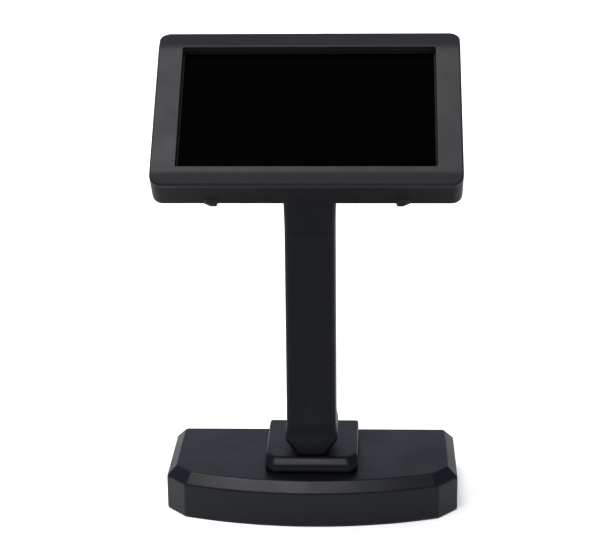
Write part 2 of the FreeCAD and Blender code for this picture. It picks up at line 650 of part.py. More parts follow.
def pedestal_solid(inset, z0, z1):
    half_width = PEDESTAL_HALF_WIDTH - inset
    front = PEDESTAL_FRONT + inset
    facet = 5.0
    corners = [
        Vector(-half_width, PEDESTAL_BACK - inset, z0),
        Vector(-half_width, front + facet, z0),
        Vector(-half_width + facet, front, z0),
        Vector(half_width - facet, front, z0),
        Vector(half_width, front + facet, z0),
        Vector(half_width, PEDESTAL_BACK - inset, z0),
    ]
    return Part.Face(Part.makePolygon(corners + corners[:1])).extrude(Vector(0, 0, z1 - z0))


def pedestal_block():
    block = pedestal_solid(0, BASE_TOP, PEDESTAL_TOP)
    rim = [edge for edge in block.Edges if edge.BoundBox.ZMin > PEDESTAL_TOP - 0.01]
    front_rim = [edge for edge in rim if edge.CenterOfMass.y < PEDESTAL_FRONT + 5.0]
    block = block.makeChamfer(PEDESTAL_CHAMFER, front_rim)
    hollow = pedestal_solid(2.6, BASE_TOP - 1, PEDESTAL_TOP - 2.6)
    hollow = hollow.cut(box(-40, 40, -40, PEDESTAL_FRONT + 8.0, 25, 45))
    bosses = [rod((x, y, BASE_TOP), AXIS_Z, 4.2, 9) for x, y in PEDESTAL_SCREW_SPOTS]
    block = block.cut(hollow)
    block = fuse([block, rod((0, 0, BASE_TOP), AXIS_Z, 14.0, 9)] + bosses)
    cuts = [rod((x, y, BASE_TOP - 1), AXIS_Z, 1.65, 9) for x, y in PEDESTAL_SCREW_SPOTS]
    return block.cut(cuts + [rod((0, 0, 20), AXIS_Z, 10.02, 30)])


def base_pieces():
    cover = base_block(0, BASE_LIP, BASE_TOP, BASE_CHAMFER)
    cover = cover.cut(base_block(-BASE_WALL, BASE_LIP - 1, BASE_TOP - 2.5, BASE_CHAMFER - 1.0))
    bosses = [rod((x, y, 3.55), AXIS_Z, 4.0, 24) for x, y in BASE_SCREW_SPOTS]
    cover = fuse([cover] + bosses)
    cover_cuts = [rod((x, y, 3), AXIS_Z, 1.55, 14) for x, y in BASE_SCREW_SPOTS]
    cover_cuts += [rod((x, y, 25), AXIS_Z, 1.9, 8) for x, y in PEDESTAL_SCREW_SPOTS]
    cover_cuts += [rod((0, 0, 25), AXIS_Z, 10.02, 8)]
    cover_cuts += [rod((0, 50, CABLE_Z), AXIS_Y, 6.0, 12), rod((0, 59.0, CABLE_Z), AXIS_Y, 8.0, 3)]
    cover = cover.cut(cover_cuts)

    plate = base_block(-BASE_WALL - 0.15, 1.5, 3.5, 0)
    plate_cuts = []
    for x, y in BASE_SCREW_SPOTS:
        plate_cuts += [rod((x, y, 1), AXIS_Z, 1.75, 4), rod((x, y, 1), AXIS_Z, 3.1, 1.7)]
    for x, y in FOOT_SPOTS:
        plate_cuts.append(rod((x, y, 1), AXIS_Z, 8.05, 0.95))
    for x, y in BALLAST_SCREW_SPOTS:
        plate_cuts.append(rod((x, y, 1), AXIS_Z, 1.65, 4))
    plate = plate.cut(plate_cuts)

    ballast = box(-70, 70, -20, 44, 3.55, 11.6)
    ballast = ballast.makeChamfer(6.0, straight_edges(ballast, AXIS_Z))
    ballast = ballast.cut([rod((x, y, 0), AXIS_Z, 1.8, 15) for x, y in BALLAST_SCREW_SPOTS])

    feet = []
    for x, y in FOOT_SPOTS:
        pad = rod((x, y, 0), AXIS_Z, 8.0, 1.9)
        low_rim = [edge for edge in pad.Edges if edge.BoundBox.ZMax < 0.01]
        feet.append(pad.makeChamfer(0.4, low_rim[:1]))

    bearing = box(-25, 25, -16, 41, 24.0, 26.95)
    bearing = bearing.makeFillet(4.0, straight_edges(bearing, AXIS_Z))
    bearing_cuts = [rod((x, y, 20), AXIS_Z, 1.9, 10) for x, y in PEDESTAL_SCREW_SPOTS]
    bearing_cuts += [rod((0, 0, 20), AXIS_Z, 10.02, 10), rod((0, STOP_RADIUS, 20), AXIS_Z, 1.52, 10)]
    bearing = bearing.cut(bearing_cuts)

    base_screws = [screw((x, y, 2.7), AXIS_Z, 1.5, 12.0, 2.9, 1.2) for x, y in BASE_SCREW_SPOTS]
    ballast_screws = [screw((x, y, 11.6), -AXIS_Z, 1.6, 9.6, 3.2, 2.0) for x, y in BALLAST_SCREW_SPOTS]
    pedestal_screws = [screw((x, y, 24.0), AXIS_Z, 1.6, 13.0, 3.0, 1.8) for x, y in PEDESTAL_SCREW_SPOTS]
    return {
        "base_cover": cover,
        "pedestal_block": pedestal_block(),
        "base_plate": plate,
        "ballast_plate": ballast,
        "rubber_feet": Part.makeCompound(feet),
        "bearing_plate": bearing,
        "swivel_bushing": ring((0, 0, 24.0), AXIS_Z, 10.0, SPINDLE_RADIUS + FIT_GAP, 15.5),
        "thrust_washer": ring((0, 0, 39.52), AXIS_Z, 10.3, SPINDLE_RADIUS + 0.08, 0.62),
        "stop_pin": rod((0, STOP_RADIUS, 20.6), AXIS_Z, 1.5, 6.3),
        "base_screws": Part.makeCompound(base_screws),
        "ballast_screws": Part.makeCompound(ballast_screws),
        "pedestal_screws": Part.makeCompound(pedestal_screws),
        "cable_grommet": grommet((0, 60.0, CABLE_Z), AXIS_Y, 3.5, 5.9, 7.9, 4.2),
    }


def save(pieces):
    for name, shape in pieces.items():
        shape.translate(Vector(0, ORIGIN_SHIFT_Y, 0))
        shape.exportStep("parts/" + name + ".step")


os.makedirs("parts", exist_ok=True)
save(head_pieces())
save(pole_pieces())
save(base_pieces())
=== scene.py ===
import bpy
import bmesh
import json
import math
from mathutils import Matrix, Vector


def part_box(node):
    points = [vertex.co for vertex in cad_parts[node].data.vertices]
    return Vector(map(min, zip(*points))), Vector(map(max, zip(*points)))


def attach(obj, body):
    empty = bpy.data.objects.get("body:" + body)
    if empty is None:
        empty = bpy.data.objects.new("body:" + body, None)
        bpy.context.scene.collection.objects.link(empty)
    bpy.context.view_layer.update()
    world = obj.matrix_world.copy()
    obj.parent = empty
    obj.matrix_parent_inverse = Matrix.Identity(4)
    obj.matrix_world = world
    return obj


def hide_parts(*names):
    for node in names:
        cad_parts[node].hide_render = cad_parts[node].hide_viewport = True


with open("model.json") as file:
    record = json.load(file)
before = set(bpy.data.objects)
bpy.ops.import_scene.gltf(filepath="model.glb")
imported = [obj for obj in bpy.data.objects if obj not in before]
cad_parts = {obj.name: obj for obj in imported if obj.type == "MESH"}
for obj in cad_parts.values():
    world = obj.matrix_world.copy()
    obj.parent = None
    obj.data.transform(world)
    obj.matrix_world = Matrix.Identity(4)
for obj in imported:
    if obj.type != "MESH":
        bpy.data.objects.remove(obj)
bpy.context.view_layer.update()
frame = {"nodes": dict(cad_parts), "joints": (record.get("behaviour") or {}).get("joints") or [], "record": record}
nodes = frame["nodes"]
joints = {joint["name"]: joint for joint in frame["joints"]}
mm = 0.001
print("frame loaded with", len(nodes), "nodes")

# the head leans back, and its button is pressed straight down the head's own height
pressAxis = Vector(joints["power_press"]["axis"])
headLean = math.atan2(-pressAxis.y, -pressAxis.z)
glassSetback = 7.0  # mm from the bezel's face to the middle of the cover glass
glassLow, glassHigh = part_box("touch_glass")
headTurn = Matrix.Rotation(-headLean, 4, "X")
headOrigin = (glassLow + glassHigh) / 2 - headTurn @ Vector((0, glassSetback * mm, 0))
toMetres = Matrix.Scale(mm, 4)
headPlace = Matrix.Translation(headOrigin) @ headTurn @ toMetres  # head pieces are drawn in mm, face at y = 0
poleSpot = Vector(joints["pole_swivel"]["pos_m"])
# everything below the head is drawn in mm about the pole's own axis
polePlace = Matrix.Translation((poleSpot.x, poleSpot.y, 0)) @ toMetres


# tools that turn loops of points into finished pieces

def stackRings(rings, joined=False):
    # rings of equal count are skinned one to the next, then closed round or capped
    count = len(rings[0])
    points = [tuple(point) for ring in rings for point in ring]
    faces = []
    for level in range(len(rings) if joined else len(rings) - 1):
        here = level * count
        there = (level + 1) % len(rings) * count
        for step in range(count):
            after = (step + 1) % count
            faces.append((here + step, here + after, there + after, there + step))
    if not joined:
        faces.append(tuple(range(count - 1, -1, -1)))
        faces.append(tuple(range((len(rings) - 1) * count, len(rings) * count)))
    return points, faces


def roundedLoop(left, right, low, high, radius, across=24, upright=56, turn=8):
    # a rectangle with round corners as flat points, the same count whatever its size
    corners = [
        (right - radius, low + radius, -90, upright),
        (right - radius, high - radius, 0, across),
        (left + radius, high - radius, 90, upright),
        (left + radius, low + radius, 180, across),
    ]
    loop = []
    for index, (x, z, start, steps) in enumerate(corners):
        for step in range(turn + 1):
            angle = math.radians(start + 90 * step / turn)
            loop.append((x + radius * math.cos(angle), z + radius * math.sin(angle)))
        nextX, nextZ, nextStart, _ = corners[(index + 1) % 4]
        nextAngle = math.radians(nextStart)
        end = (nextX + radius * math.cos(nextAngle), nextZ + radius * math.sin(nextAngle))
        begin = loop[-1]
        for step in range(1, steps):
            share = step / steps
            loop.append((begin[0] + (end[0] - begin[0]) * share, begin[1] + (end[1] - begin[1]) * share))
    return loop


def insetPolygon(points, amounts):
    # each side of a counter-clockwise outline moves inward by its own amount
    moved = []
    for index, here in enumerate(points):
        before, after = points[index - 1], points[(index + 1) % len(points)]
        first = (here - before).normalized()
        second = (after - here).normalized()
        firstIn, secondIn = Vector((-first.y, first.x)), Vector((-second.y, second.x))
        one, two = amounts[index - 1], amounts[index]
        cross = firstIn.x * secondIn.y - firstIn.y * secondIn.x
        if abs(cross) < 1e-5:
            moved.append(here + firstIn * one)
        else:
            x = (one * secondIn.y - two * firstIn.y) / cross
            y = (firstIn.x * two - secondIn.x * one) / cross
            moved.append(here + Vector((x, y)))
    return moved


def lift(loop, height):
    return [Vector((point[0], point[1], height)) for point in loop]


def stand(loop, depth):
    return [Vector((point[0], depth, point[1])) for point in loop]


def addModifier(obj, kind, **settings):
    modifier = obj.modifiers.new(kind.title(), kind)
    for key, value in settings.items():
        setattr(modifier, key, value)
    return modifier


def applyModifiers(obj):
    shaped = bpy.data.meshes.new_from_object(obj.evaluated_get(bpy.context.evaluated_depsgraph_get()))
    obj.modifiers.clear()
    obj.data = shaped


def markSharp(mesh):
    sharpest = math.radians(32)
    work = bmesh.new()
    work.from_mesh(mesh)
    for face in work.faces:
        face.smooth = True
    for edge in work.edges:
        edge.smooth = len(edge.link_faces) == 2 and edge.calc_face_angle(0) < sharpest
    work.to_mesh(mesh)
    work.free()


def buildMesh(name, points, faces, place):
    mesh = bpy.data.meshes.new(name)
    mesh.from_pydata(points, [], faces)
    work = bmesh.new()
    work.from_mesh(mesh)
    bmesh.ops.remove_doubles(work, verts=work.verts, dist=0.004)
    bmesh.ops.dissolve_degenerate(work, edges=work.edges, dist=0.001)
    bmesh.ops.recalc_face_normals(work, faces=work.faces)
    work.to_mesh(mesh)
    work.free()
    mesh.transform(place)
    obj = bpy.data.objects.new(name, mesh)
    bpy.context.scene.collection.objects.link(obj)
    return obj


def finishPiece(obj, body, slot, *replaced, bevel=0.0, cutter=None):
    if bevel:
        addModifier(
            obj, "BEVEL", width=bevel * mm, segments=3, limit_method="ANGLE",
            angle_limit=math.radians(25), harden_normals=False,
        )
        applyModifiers(obj)
    if cutter:
        addModifier(obj, "BOOLEAN", operation="DIFFERENCE", object=cutter, solver="EXACT")
        applyModifiers(obj)
        bpy.data.objects.remove(cutter)
    markSharp(obj.data)
    addModifier(obj, "WEIGHTED_NORMAL", keep_sharp=True, weight=60)
    obj.data.materials.clear()
    obj.data.materials.append(materials[slot])
    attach(obj, body)
    if replaced:
        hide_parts(*replaced)
    return obj


def diskLoop(x, z, radius):
    count = 40
    turns = [2 * math.pi * step / count for step in range(count)]
    return [(x + radius * math.cos(turn), z + radius * math.sin(turn)) for turn in turns]


def slotLoop(x, low, high, halfWidth):
    count = 10
    loop = []
    for centre, start in ((high - halfWidth, 0), (low + halfWidth, 180)):
        for step in range(count + 1):
            angle = math.radians(start + 180 * step / count)
            loop.append((x + halfWidth * math.cos(angle), centre + halfWidth * math.sin(angle)))
    return loop


def cutterFrom(prisms, place):
    # every prism is (loop, start, end, stacking rule) and all of them leave as one cutting object
    points, faces = [], []
    for loop, start, end, rule in prisms:
        somePoints, someFaces = stackRings([rule(loop, start), rule(loop, end)])
        faces += [tuple(len(points) + corner for corner in face) for face in someFaces]
        points += somePoints
    return buildMesh("cutter", points, faces, place)


# finishes

def linear(hexColour):
    channels = [int(hexColour[step:step + 2], 16) / 255 for step in (1, 3, 5)]
    return [c / 12.92 if c <= 0.04045 else ((c + 0.055) / 1.055) ** 2.4 for c in channels] + [1.0]


def addNode(tree, kind, inputs=None, **settings):
    node = tree.nodes.new(kind)
    for key, value in settings.items():
        setattr(node, key, value)
    for socket, value in (inputs or {}).items():
        if isinstance(value, bpy.types.NodeSocket):
            tree.links.new(value, node.inputs[socket])
        else:
            node.inputs[socket].default_value = value
    return node


def freshMaterial(name):
    material = bpy.data.materials.new(name)
    material.use_nodes = True
    tree = material.node_tree
    shader = tree.nodes["Principled BSDF"]
    place = addNode(tree, "ShaderNodeTexCoord").outputs["Object"]
    return material, tree, shader, place


def moulded(name, look):
    # moulded or coated solid colour: fine spark-eroded grain, faint cloudiness, paler worn edges
    material, tree, shader, place = freshMaterial(name)
    grain = addNode(tree, "ShaderNodeTexNoise", {
        "Vector": place, "Scale": 1 / (look["grain"] * mm), "Detail": 3.0, "Roughness": 0.6,
    })
    cloud = addNode(tree, "ShaderNodeTexNoise", {
        "Vector": place, "Scale": 1 / (look["cloud"] * mm), "Detail": 4.0, "Roughness": 0.55,
    })
    specks = addNode(tree, "ShaderNodeTexNoise", {
        "Vector": place, "Scale": 1 / (look["grain"] * 2.3 * mm), "Detail": 1.0,
    })
    tone = addNode(tree, "ShaderNodeMix", {
        "Factor": cloud.outputs["Fac"], "A": linear(look["colour"]), "B": linear(look["colourAlso"]),
    }, data_type="RGBA")
    speckShare = addNode(tree, "ShaderNodeMapRange", {
        "Value": specks.outputs["Fac"], "From Min": 0.56, "From Max": 0.74, "To Max": look["speck"],
    })
    speckled = addNode(tree, "ShaderNodeMix", {
        "Factor": speckShare.outputs["Result"], "A": tone.outputs["Result"], "B": linear(look["worn"]),
    }, data_type="RGBA")
    edge = addNode(tree, "ShaderNodeMapRange", {
        "Value": addNode(tree, "ShaderNodeNewGeometry").outputs["Pointiness"],
        "From Min": 0.52, "From Max": 0.6, "To Max": look["wear"],
    })
    edgeBroken = addNode(tree, "ShaderNodeMath", {
        0: edge.outputs["Result"], 1: cloud.outputs["Fac"],
    }, operation="MULTIPLY")
    worn = addNode(tree, "ShaderNodeMix", {
        "Factor": edgeBroken.outputs["Value"], "A": speckled.outputs["Result"], "B": linear(look["worn"]),
    }, data_type="RGBA")
    sheen = addNode(tree, "ShaderNodeMapRange", {
        "Value": cloud.outputs["Fac"], "From Min": 0.3, "From Max": 0.7,
        "To Min": look["rough"] - look["roughSpread"], "To Max": look["rough"] + look["roughSpread"],
    })
    relief = addNode(tree, "ShaderNodeBump", {
        "Height": grain.outputs["Fac"], "Strength": look["bump"], "Distance": 0.05 * mm,
    })
    tree.links.new(worn.outputs["Result"], shader.inputs["Base Color"])
    tree.links.new(sheen.outputs["Result"], shader.inputs["Roughness"])
    tree.links.new(relief.outputs["Normal"], shader.inputs["Normal"])
    shader.inputs["IOR"].default_value = look.get("ior", 1.5)
    shader.inputs["Specular IOR Level"].default_value = look.get("gloss", 0.5)
    return material


def metal(name, look):
    # plated, turned or rolled metal: fine lines along one direction and a cloudy tarnish
    material, tree, shader, place = freshMaterial(name)
    stretched = addNode(tree, "ShaderNodeMapping", {"Vector": place, "Scale": look["lines"]})
    lines = addNode(tree, "ShaderNodeTexNoise", {
        "Vector": stretched.outputs["Vector"], "Scale": 1 / (0.35 * mm), "Detail": 3.0,
    })
    cloud = addNode(tree, "ShaderNodeTexNoise", {"Vector": place, "Scale": 1 / (6 * mm), "Detail": 3.0})
    tone = addNode(tree, "ShaderNodeMix", {
        "Factor": cloud.outputs["Fac"], "A": linear(look["colour"]), "B": linear(look["colourAlso"]),
    }, data_type="RGBA")
    sheen = addNode(tree, "ShaderNodeMapRange", {
        "Value": lines.outputs["Fac"], "From Min": 0.3, "From Max": 0.7,
        "To Min": look["rough"] - 0.08, "To Max": look["rough"] + 0.08,
    })
    relief = addNode(tree, "ShaderNodeBump", {
        "Height": lines.outputs["Fac"], "Strength": 0.35, "Distance": 0.02 * mm,
    })
    tree.links.new(tone.outputs["Result"], shader.inputs["Base Color"])
    tree.links.new(sheen.outputs["Result"], shader.inputs["Roughness"])
    tree.links.new(relief.outputs["Normal"], shader.inputs["Normal"])
    shader.inputs["Metallic"].default_value = 1.0
    return material


def coverGlass(name, look):
    # black printed cover glass with an anti-glare etch: deep black, next to no sheen, faint wipe marks
    material, tree, shader, place = freshMaterial(name)
    stretched = addNode(tree, "ShaderNodeMapping", {"Vector": place, "Scale": (1.0, 0.25, 0.25)})
    wipes = addNode(tree, "ShaderNodeTexNoise", {
        "Vector": stretched.outputs["Vector"], "Scale": 1 / (9 * mm), "Detail": 5.0,
    })
    etch = addNode(tree, "ShaderNodeTexNoise", {"Vector": place, "Scale": 1 / (0.4 * mm), "Detail": 1.0})
    tone = addNode(tree, "ShaderNodeMix", {
        "Factor": wipes.outputs["Fac"], "A": linear(look["colour"]), "B": linear(look["colourAlso"]),
    }, data_type="RGBA")
    sheen = addNode(tree, "ShaderNodeMapRange", {
        "Value": wipes.outputs["Fac"], "From Min": 0.35, "From Max": 0.65,
        "To Min": look["rough"] - 0.05, "To Max": look["rough"] + 0.07,
    })
    relief = addNode(tree, "ShaderNodeBump", {
        "Height": etch.outputs["Fac"], "Strength": 0.1, "Distance": 0.005 * mm,
    })
    tree.links.new(tone.outputs["Result"], shader.inputs["Base Color"])
    tree.links.new(sheen.outputs["Result"], shader.inputs["Roughness"])
    tree.links.new(relief.outputs["Normal"], shader.inputs["Normal"])
    shader.inputs["IOR"].default_value = 1.5
    shader.inputs["Specular IOR Level"].default_value = look["gloss"]
    return material


def circuitBoard(name, look):
    # solder mask over copper: square-ish track fields show through as a paler green
    material, tree, shader, place = freshMaterial(name)
    tracks = addNode(tree, "ShaderNodeTexVoronoi", {
        "Vector": place, "Scale": 1 / (3.5 * mm),
    }, distance="CHEBYCHEV", feature="F1")
    share = addNode(tree, "ShaderNodeMapRange", {
        "Value": tracks.outputs["Distance"], "From Min": 0.38, "From Max": 0.42, "To Max": 0.7,
    })
    tone = addNode(tree, "ShaderNodeMix", {
        "Factor": share.outputs["Result"], "A": linear(look["colour"]), "B": linear(look["colourAlso"]),
    }, data_type="RGBA")
    relief = addNode(tree, "ShaderNodeBump", {
        "Height": share.outputs["Result"], "Strength": 0.4, "Distance": 0.03 * mm,
    })
    tree.links.new(tone.outputs["Result"], shader.inputs["Base Color"])
    tree.links.new(relief.outputs["Normal"], shader.inputs["Normal"])
    shader.inputs["Roughness"].default_value = 0.3
    return material


# moulded ABS and its neighbours: colour pairs, grain and cloud sizes in mm.
# The real spark grain is about 0.1 mm, and it is drawn coarser so that it shows.
# Gloss is a typical 0.5 for bare plastic, and these dull moulded faces needed much less of it.
plain = {
    "grain": 0.7, "cloud": 38, "speck": 0.1, "wear": 0.5,
    "rough": 0.48, "roughSpread": 0.05, "bump": 0.25, "gloss": 0.1,
}
finishes = {
    "bezel_abs": (moulded, "mouldedAbsCharcoal", dict(
        plain, colour="#141417", colourAlso="#18181B", worn="#36363A")),
    "housing_abs": (moulded, "mouldedAbsBlack", dict(
        plain, colour="#07080B", colourAlso="#0A0B0E", worn="#222428", gloss=0.07)),
    "pole_paint": (moulded, "powderCoatedTube", dict(
        plain, colour="#090B12", colourAlso="#0C0E15", worn="#1E222B", wear=0.2)),
    "pole_abs": (moulded, "mouldedAbsPole", dict(
        plain, colour="#080A11", colourAlso="#0B0D14", worn="#1C2029", wear=0.2)),
    "base_abs": (moulded, "mouldedAbsBase", dict(
        plain, colour="#080A10", colourAlso="#0C0E14", worn="#20242A", rough=0.42, gloss=0.18)),
    "button_abs": (moulded, "mouldedAbsButton", dict(
        plain, colour="#1A1A1C", colourAlso="#1E1E20", worn="#434346")),
    "gasket_foam": (moulded, "foamGasket", dict(
        plain, colour="#121214", colourAlso="#161618", worn="#242427", grain=0.5, rough=0.8, bump=0.5)),
    "black_rubber": (moulded, "mouldedRubber", dict(
        plain, colour="#161617", colourAlso="#1C1C1D", worn="#38383A", rough=0.75, ior=1.52)),
    "light_guide": (moulded, "reflectorFilm", dict(
        plain, colour="#DEDFDF", colourAlso="#E8E8E8", worn="#F2F2F2", rough=0.35)),
    "lcd_glass": (moulded, "laminatedPanel", dict(
        plain, colour="#16161A", colourAlso="#1B1B20", worn="#2C2C31", rough=0.15, bump=0.05)),
    "chip_plastic": (moulded, "epoxyPackage", dict(
        plain, colour="#151517", colourAlso="#1B1B1D", worn="#2F2F31")),
    "flex_film": (moulded, "polyimideFilm", dict(
        plain, colour="#8A5A1E", colourAlso="#9A6727", worn="#B98A4C", rough=0.3, bump=0.1)),
    "acetal": (moulded, "naturalAcetal", dict(
        plain, colour="#DAD7CE", colourAlso="#E3E0D8", worn="#EFEDE6", rough=0.35, ior=1.48)),
    "wire_jacket": (moulded, "vinylJacket", dict(
        plain, colour="#1B1B1D", colourAlso="#222224", worn="#39393B")),
    "connector_nylon": (moulded, "naturalNylon", dict(
        plain, colour="#D6D2C6", colourAlso="#DFDBD0", worn="#ECE9E0", ior=1.53)),
    "black_steel": (moulded, "blackOxideSteel", dict(
        plain, colour="#18191B", colourAlso="#1E1F21", worn="#5A5B5E", grain=0.4, rough=0.42)),
    "ballast_steel": (moulded, "paintedPlate", dict(
        plain, colour="#2A2A2C", colourAlso="#333335", worn="#5B5B5D")),
    "sheet_steel": (metal, "zincPlatedSheet", {
        "colour": "#B9BBBD", "colourAlso": "#A7A9AC", "rough": 0.38, "lines": (1.0, 0.05, 1.0)}),
    "machined_steel": (metal, "turnedSteel", {
        "colour": "#B1B2B4", "colourAlso": "#9C9DA0", "rough": 0.3, "lines": (1.0, 1.0, 0.08)}),
    "cast_alloy": (metal, "dieCastAlloy", {
        "colour": "#8E9093", "colourAlso": "#7F8184", "rough": 0.5, "lines": (1.0, 1.0, 1.0)}),
    "touch_glass": (coverGlass, "etchedCoverGlass", {
        "colour": "#010101", "colourAlso": "#020202", "rough": 0.3, "gloss": 0.0004}),
    "circuit_board": (circuitBoard, "solderMask", {"colour": "#0F3D20", "colourAlso": "#1D5A33"}),
}
materials = {slot: make(name, look) for slot, (make, name, look) in finishes.items()}
for row in frame["record"]["subparts"]:
    node = nodes[row["node"]]
    node.data.materials.clear()
    node.data.materials.append(materials[row["material_slot"]])
print("materials made:", len(materials))


# the head, drawn in mm with its face at y = 0 and the screen in the middle

head = {
    "halfWidth": 93.25, "bottom": -56.8, "top": 58.8, "depth": 23.0, "corner": 6.6,
    "bendHeight": 44.5, "bendAngle": 18.37, "bendRadius": 20.0,
    "lowBendHeight": -48.6, "lowBendAngle": 14.04, "lowBendRadius": 8.0,
    "parting": 5.2, "seam": 0.16, "wall": 2.2, "openHalfWidth": 78.0, "openHalfHeight": 44.5,
}


def headLoop(inset, top=None):
    top = head["top"] if top is None else top
    radius = max(head["corner"] - inset, 0.8)
    half = head["halfWidth"] - inset
    return roundedLoop(-half, half, head["bottom"] + inset, top - inset, radius)


def bendDepth(past, angle, radius):
    # how far a face falls away at a distance past a bend of this angle and radius
    start = -radius * math.tan(angle / 2)
    if past <= start:
        return 0.0
    if past - start < radius * math.sin(angle):
        return radius - math.sqrt(radius ** 2 - (past - start) ** 2)
    return past * math.tan(angle)


def faceDepth(height):
    # the front face in side view, bent back along its top and bottom margins
    high = bendDepth(height - head["bendHeight"], math.radians(head["bendAngle"]), head["bendRadius"])
    low = bendDepth(head["lowBendHeight"] - height, math.radians(head["lowBendAngle"]), head["lowBendRadius"])
    return high + low


def drape(loop, extra=0.0):
    # lays a loop on the front face, set back by a little more
    return [Vector((x, min(faceDepth(z) + extra, head["parting"]), z)) for x, z in loop]


def openingLoop(grow, radius):
    width, height = head["openHalfWidth"] + grow, head["openHalfHeight"] + grow
    return roundedLoop(-width, width, -height, height, radius)


def buildBezel():
    shape = {"edgeRound": 1.0, "edgeSteps": (0.0, 0.08, 0.28, 0.6, 1.0), "lipRound": 0.5, "recess": 5.0}
    edge = shape["edgeRound"]
    rings = [stand(headLoop(0), head["parting"])]
    for inset in shape["edgeSteps"]:
        drop = edge - math.sqrt(edge ** 2 - (edge - inset) ** 2)
        rings.append(drape(headLoop(inset), drop))
    for inset in (1.7, 2.6, 3.6, 4.8, 6.0):
        rings.append(drape(headLoop(inset)))
    wide, tight = headLoop(6.0), openingLoop(shape["lipRound"], 1.5)
    for step in range(1, 11):
        between = []
        for outer, inner in zip(wide, tight):
            between.append(tuple(a + (b - a) * step / 10 for a, b in zip(outer, inner)))
        rings.append(drape(between))
    rings.append(drape(openingLoop(0.22, 1.25), 0.06))
    rings.append(drape(openingLoop(0.06, 1.08), 0.22))
    rings.append(drape(openingLoop(0, 1.0), shape["lipRound"]))
    rings.append(stand(openingLoop(0, 1.0), shape["recess"]))
    rings.append(stand(openingLoop(1.6, 2.6), shape["recess"]))
    rings.append(stand(openingLoop(1.6, 2.6), 3.0))
    wall = head["wall"]
    inner = headLoop(wall)
    rings.append([Vector((x, max(3.0, faceDepth(z) + wall), z)) for x, z in inner])
    tongue = head["parting"] + 2.0
    rings.append(stand(inner, tongue))
    rings.append(stand(headLoop(wall / 2), tongue))
    rings.append(stand(headLoop(wall / 2), head["parting"]))
    obj = buildMesh("bezelShell", *stackRings(rings, joined=True), headPlace)
    return finishPiece(obj, "head", "bezel_abs", "front_bezel")


def buildHousing():
    shape = {
        "shoulder": 14.0, "rearTop": 54.0, "edge": 1.6,
        "ventPitch": 5.5, "ventStart": 36.0, "vents": 8, "ventHalfWidth": 1.1,
        "ventRows": ((18, 42), (-46, -34)),
        "screwX": 87.0, "screwHeights": (-45.0, 3.0, 40.5), "screwRadius": 2.5, "wireHeight": -29.0,
    }
    fall = (head["top"] - shape["rearTop"]) / (head["depth"] - shape["shoulder"])

    def topAt(depth):
        return head["top"] - max(depth - shape["shoulder"], 0) * fall

    start = head["parting"] + head["seam"]
    wall, back = head["wall"], head["depth"]
    rings = [stand(headLoop(wall, topAt(back - wall)), back - wall)]
    for depth in (17.0, 14.0, start + 2.0):
        rings.append(stand(headLoop(wall, topAt(depth)), depth))
    rings.append(stand(headLoop(1.0), start + 2.0))
    rings.append(stand(headLoop(1.0), start))
    rings.append(stand(headLoop(0.1), start))
    rings.append(stand(headLoop(0), start + 0.1))
    for depth in (9.0, 13.0, 14.0, 15.0, 18.0):
        rings.append(stand(headLoop(0, topAt(depth)), depth))
    edge = shape["edge"]
    for step in range(6):
        angle = math.radians(90 * step / 5)
        depth = back - edge + edge * math.sin(angle)
        rings.append(stand(headLoop(edge * (1 - math.cos(angle)), topAt(depth)), depth))
    obj = buildMesh("housingShell", *stackRings(rings), headPlace)

    prisms = []
    for side in (-1, 1):
        for column in range(shape["vents"]):
            x = side * (shape["ventStart"] + shape["ventPitch"] * column)
            for low, high in shape["ventRows"]:
                prisms.append((slotLoop(x, low, high, shape["ventHalfWidth"]), 19.0, 25.0, stand))
        for z in shape["screwHeights"]:
            prisms.append((diskLoop(side * shape["screwX"], z, shape["screwRadius"]), 20.6, 25.0, stand))
    prisms.append((diskLoop(0, shape["wireHeight"], 7.45), 22.0, 25.0, stand))
    prisms.append((diskLoop(0, shape["wireHeight"], 5.45), 19.0, 22.1, stand))
    prisms.append((roundedLoop(7.2, 16.8, 6.9, 11.7, 1.2, 2, 2, 5), 54.0, 62.0, lift))
    return finishPiece(obj, "head", "housing_abs", "rear_housing", cutter=cutterFrom(prisms, headPlace))


def buildScreen():
    glass = {"halfWidth": 81.0, "halfHeight": 47.0, "front": 6.1, "back": 7.9, "corner": 1.5, "edge": 0.3}
    rings = []
    edge = glass["edge"]
    for inset, depth in ((0, glass["back"]), (0, glass["front"] + edge), (edge, glass["front"])):
        rings.append(stand(roundedLoop(
            -glass["halfWidth"] + inset, glass["halfWidth"] - inset,
            -glass["halfHeight"] + inset, glass["halfHeight"] - inset, glass["corner"], 8, 8, 5), depth))
    obj = buildMesh("coverGlass", *stackRings(rings), headPlace)
    finishPiece(obj, "head", "touch_glass", "touch_glass")

    gasket = {"front": 5.05, "back": 6.05, "outward": 1.9, "inward": -1.0, "round": 0.25}
    soft = gasket["round"]
    steps = [
        (gasket["outward"], gasket["back"], 2.0), (gasket["outward"], gasket["front"], 2.0),
        (gasket["inward"] + soft, gasket["front"], 1.2), (gasket["inward"], gasket["front"] + soft, 1.0),
        (gasket["inward"], gasket["back"], 1.0),
    ]
    rings = [stand(openingLoop(grow, radius), depth) for grow, depth, radius in steps]
    obj = buildMesh("screenGasket", *stackRings(rings, joined=True), headPlace)
    finishPiece(obj, "head", "gasket_foam", "screen_gasket")


